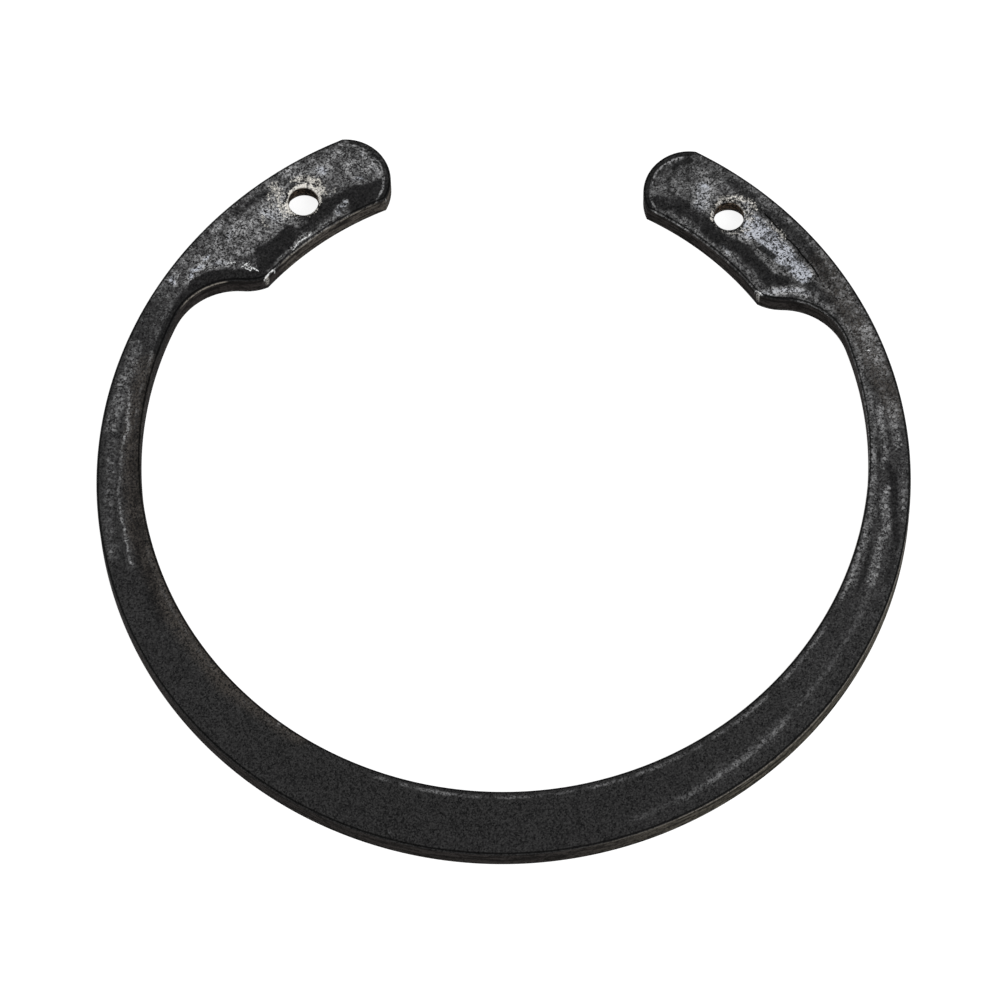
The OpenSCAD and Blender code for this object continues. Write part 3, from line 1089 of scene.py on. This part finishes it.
def residue(n, s, colour):
    """Pale residue round the holes and in their mouths, and a painted highlight on the right hole's roll."""
    amount = n.weigh(
        (s.cream, 1.2), (n.centred(s.speck), 1.4), (n.centred(s.blots), 2.2), (n.centred(s.grain), 0.5))
    part = n.times(n.rise(amount, 0.5, 1.0), n.rise(s.cream, 0.02, 0.3), n.rise(s.z, *CRUST_FROM))
    at_hole = n.times(n.fall(s.hole, *PALE_CRUST_TO), n.between(s.on_right, 1.0, 0.2))
    light = n.least(n.weigh((s.grain_c, 1.0), (at_hole, 0.5)), 1.0)
    return n.mix(n.times(part, CRUST), colour, n.mix(light, CREAM_DIM, CREAM))


def bright_marks(n, s, colour):
    """Bright nicks, and a light line on the crease at the corners of the shoulders, partly worn edge and
    partly a painted highlight.
    """
    near = n.fall(wavering(n, s, s.nick, 0.15), *NICK_FADE)
    nicks = n.times(near, s.nick_mask, dots(n, s, 0.45, 0.75, 0.4), s.upper)
    colour = n.mix(n.times(nicks, NICK), colour, BRIGHT)
    # Partly worn edge and partly a painted highlight on the corners' crease
    corner = n.times(n.fall(s.corner, *CORNER_FADE), n.rise(s.z, *CORNER_FROM), dots(n, s, 0.7, 1.2, 1.0))
    return n.mix(n.times(corner, n.between(s.on_right, CORNER_LEFT, CORNER_RIGHT)), colour, CREAM)


def steel_material():
    """Black phosphate on sheared steel, with grey deposit, wear and residue."""
    mat = bpy.data.materials.new("black_phosphate")
    mat.use_nodes = True
    bsdf = mat.node_tree.nodes["Principled BSDF"]
    n = Nodes(mat.node_tree)
    s = shared_sockets(n)
    colour, deposit = coat(n, s)
    colour = streaks(n, s, colour)
    colour = edge_lines(n, s, colour)
    colour, crack_part = hair_crack(n, s, colour)
    colour = walls(n, s, colour)
    colour = residue(n, s, colour)
    colour = bright_marks(n, s, colour)
    n.put(bsdf.inputs["Base Color"], colour)
    added = n.weigh((deposit, ROUGH_DEPOSIT), (s.grain, ROUGH_GRAIN), (s.wall, ROUGH_WALL))
    n.put(bsdf.inputs["Roughness"], n.plus(ROUGHNESS, added))
    bsdf.inputs["Specular IOR Level"].default_value = SPECULAR
    bump = n.add("ShaderNodeBump")
    bump.inputs["Strength"].default_value = BUMP_STRENGTH
    bump.inputs["Distance"].default_value = BUMP_DEPTH
    n.put(bump.inputs["Height"], n.weigh((s.speck, 1.0), (s.mottle, 0.8), (crack_part, -1.5)))
    n.put(bsdf.inputs["Normal"], bump.outputs[0])
    return mat


ring.data.materials.append(steel_material())

# Floor: white where it is seen, and still darkened by a shadow
FLOOR_HALF = 1.5
FLOOR_GLOW = 0.85
FLOOR_WHITE = 0.35
FLOOR_BELOW = 0.00002
# World: white where it is seen, and softer as a light
WORLD_LIGHT = 0.6
# Lamps, which look at the ring: name, size in metres, energy in watts, and place
LAMPS = (
    ("key", 0.5, 4.0, (0.45, -0.35, 0.7)),
    ("fill", 0.7, 2.0, (-0.7, 0.1, 0.6)),
)


def seen_directly(n):
    """1 for the camera's own rays and for those that a gloss or a glass sends on."""
    path = n.add("ShaderNodeLightPath")
    return n.most(*(path.outputs[f"Is {kind} Ray"] for kind in ("Camera", "Glossy", "Transmission")))


def pale_material():
    mat = bpy.data.materials.new("pale_floor")
    mat.use_nodes = True
    mat.node_tree.nodes.clear()
    n = Nodes(mat.node_tree)
    glow = n.add("ShaderNodeEmission")
    n.put(glow.inputs["Strength"], n.times(seen_directly(n), FLOOR_GLOW))
    matt = n.add("ShaderNodeBsdfDiffuse")
    matt.inputs["Color"].default_value = (FLOOR_WHITE, FLOOR_WHITE, FLOOR_WHITE, 1)
    both = n.add("ShaderNodeAddShader")
    n.put(both.inputs[0], glow.outputs[0])
    n.put(both.inputs[1], matt.outputs[0])
    out = n.add("ShaderNodeOutputMaterial")
    n.put(out.inputs["Surface"], both.outputs[0])
    return mat


def add_floor():
    h = FLOOR_HALF
    mesh = bpy.data.meshes.new("floor")
    mesh.from_pydata([(-h, -h, 0), (h, -h, 0), (h, h, 0), (-h, h, 0)], [], [(0, 1, 2, 3)])
    floor = bpy.data.objects.new("floor", mesh)
    floor.location.z = -FLOOR_BELOW
    bpy.context.scene.collection.objects.link(floor)
    floor.data.materials.append(pale_material())


def add_world():
    world = bpy.data.worlds.new("studio")
    bpy.context.scene.world = world
    world.use_nodes = True
    n = Nodes(world.node_tree)
    back = world.node_tree.nodes["Background"]
    back.inputs["Color"].default_value = (1, 1, 1, 1)
    level = n.plus(WORLD_LIGHT, n.times(seen_directly(n), 1 - WORLD_LIGHT))
    n.put(back.inputs["Strength"], level)


def area_light(name, size, energy, place):
    data = bpy.data.lights.new(name, "AREA")
    data.size = size
    data.energy = energy
    lamp = bpy.data.objects.new(name, data)
    lamp.location = place
    lamp.rotation_euler = Vector(place).to_track_quat("Z", "Y").to_euler()
    bpy.context.scene.collection.objects.link(lamp)


def add_camera():
    data = bpy.data.cameras.new("camera")
    data.sensor_width = SENSOR
    data.lens = FOCAL_PX * SENSOR / IMAGE_PX
    data.clip_end = CLIP_END
    cam = bpy.data.objects.new("camera", data)
    turn = Matrix((RIGHT, UP, TOWARD)).transposed()
    cam.matrix_world = Matrix.LocRotScale(EYE * MM, turn, None)
    bpy.context.scene.collection.objects.link(cam)
    bpy.context.scene.camera = cam


add_floor()
add_world()
for lamp_row in LAMPS:
    area_light(*lamp_row)
add_camera()
bpy.context.scene.view_settings.view_transform = "Standard"
